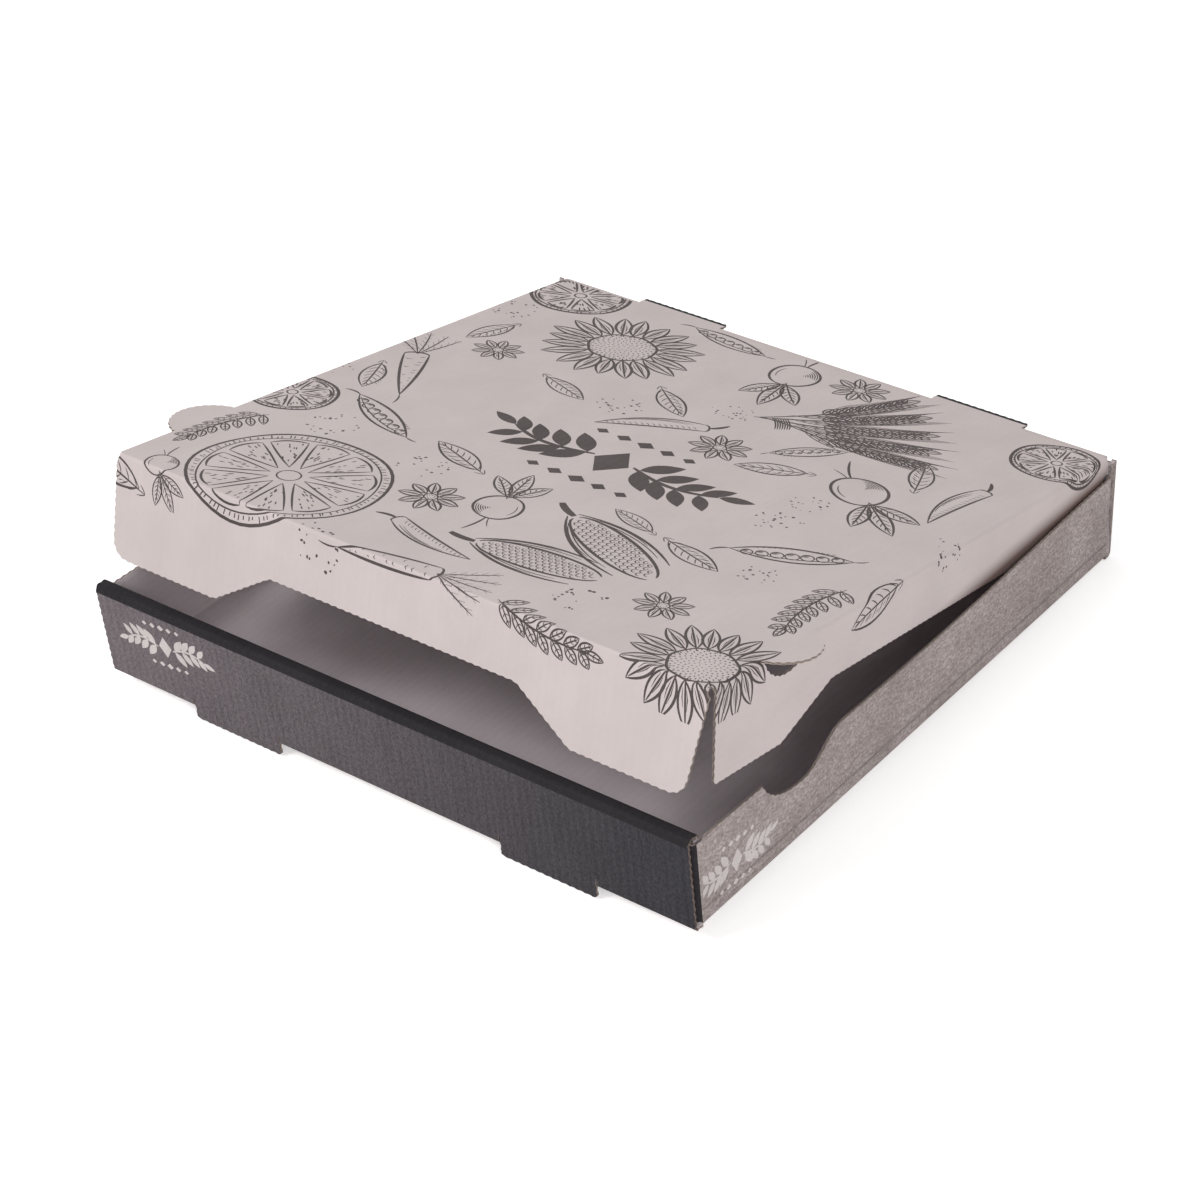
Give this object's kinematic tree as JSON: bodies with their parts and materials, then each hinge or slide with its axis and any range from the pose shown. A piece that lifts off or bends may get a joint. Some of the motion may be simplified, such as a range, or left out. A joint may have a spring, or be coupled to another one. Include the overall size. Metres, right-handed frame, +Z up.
{
  "type": "pizza box",
  "caption": "Flat square corrugated box folded from one sheet, with a doubled front wall, dipped side walls and a lid that swings open on its rear crease, for carrying a pizza.",
  "frame": {"origin": "centre of the tray's footprint, on the surface that the box stands on", "axes": "+Z up, +X to the right seen from the front, +Y from the front wall to the lid's rear crease"},
  "size_m": [0.2766, 0.2787, 0.092],
  "materials": {
    "tray_board": "matte printed board",
    "lid_board": "matte printed board"
  },
  "bodies": {
    "tray": {"tray": "tray_board"},
    "lid": {"lid": "lid_board"},
    "lid_front_flap": {"lid_front_flap": "lid_board"}
  },
  "joints": [
    {"name": "lid_hinge", "type": "hinge", "parent": "tray", "child": "lid", "pos_m": [0, 0.13496, 0.04187], "axis": [-1, 0, 0], "range_deg": [-9.9, 170.1]},
    {"name": "front_flap_hinge", "type": "hinge", "parent": "lid", "child": "lid_front_flap", "pos_m": [0, -0.11971, 0.09121], "axis": [-1, 0, 0], "range_deg": [-4, 86]}
  ]
}
